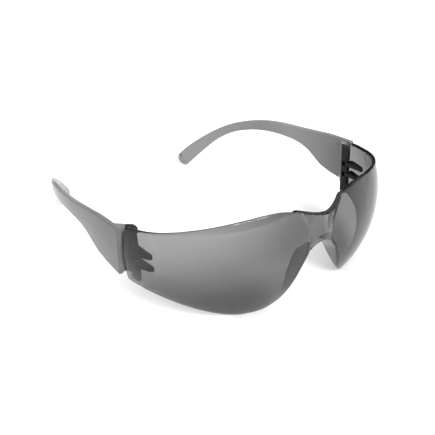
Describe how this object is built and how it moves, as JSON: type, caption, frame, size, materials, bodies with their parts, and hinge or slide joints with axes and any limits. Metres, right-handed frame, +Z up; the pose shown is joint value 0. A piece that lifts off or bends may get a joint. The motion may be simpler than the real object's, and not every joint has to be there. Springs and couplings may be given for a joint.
{
  "type": "safety glasses",
  "caption": "Wraparound safety glasses: a curved smoke lens shield with moulded nose flanges, and slim temples that fold in on hinge pins.",
  "frame": {"origin": "centre of the bounding box in plan, on the plane the glasses rest on", "axes": "-Y is the way the wearer looks, +X points across the face to the temple called right, +Z is up"},
  "size_m": [0.1388, 0.168, 0.0482],
  "materials": {
    "lens": "polished clear smoke polycarbonate",
    "temple": "moulded smoke polycarbonate, smooth",
    "hinge_pin": "drawn stainless wire"
  },
  "bodies": {
    "front": {"lens": "lens", "hinge_pin_left": "hinge_pin", "hinge_pin_right": "hinge_pin"},
    "temple_left": {"temple_left": "temple"},
    "temple_right": {"temple_right": "temple"}
  },
  "joints": [
    {"name": "temple_right_fold", "type": "hinge", "parent": "front", "child": "temple_right", "pos_m": [0.0625, -0.0381, 0.0298], "axis": [0, 0, 1], "range_deg": [0, 85]},
    {"name": "temple_left_fold", "type": "hinge", "parent": "front", "child": "temple_left", "pos_m": [-0.0625, -0.0381, 0.0298], "axis": [0, 0, -1], "range_deg": [0, 76]}
  ]
}
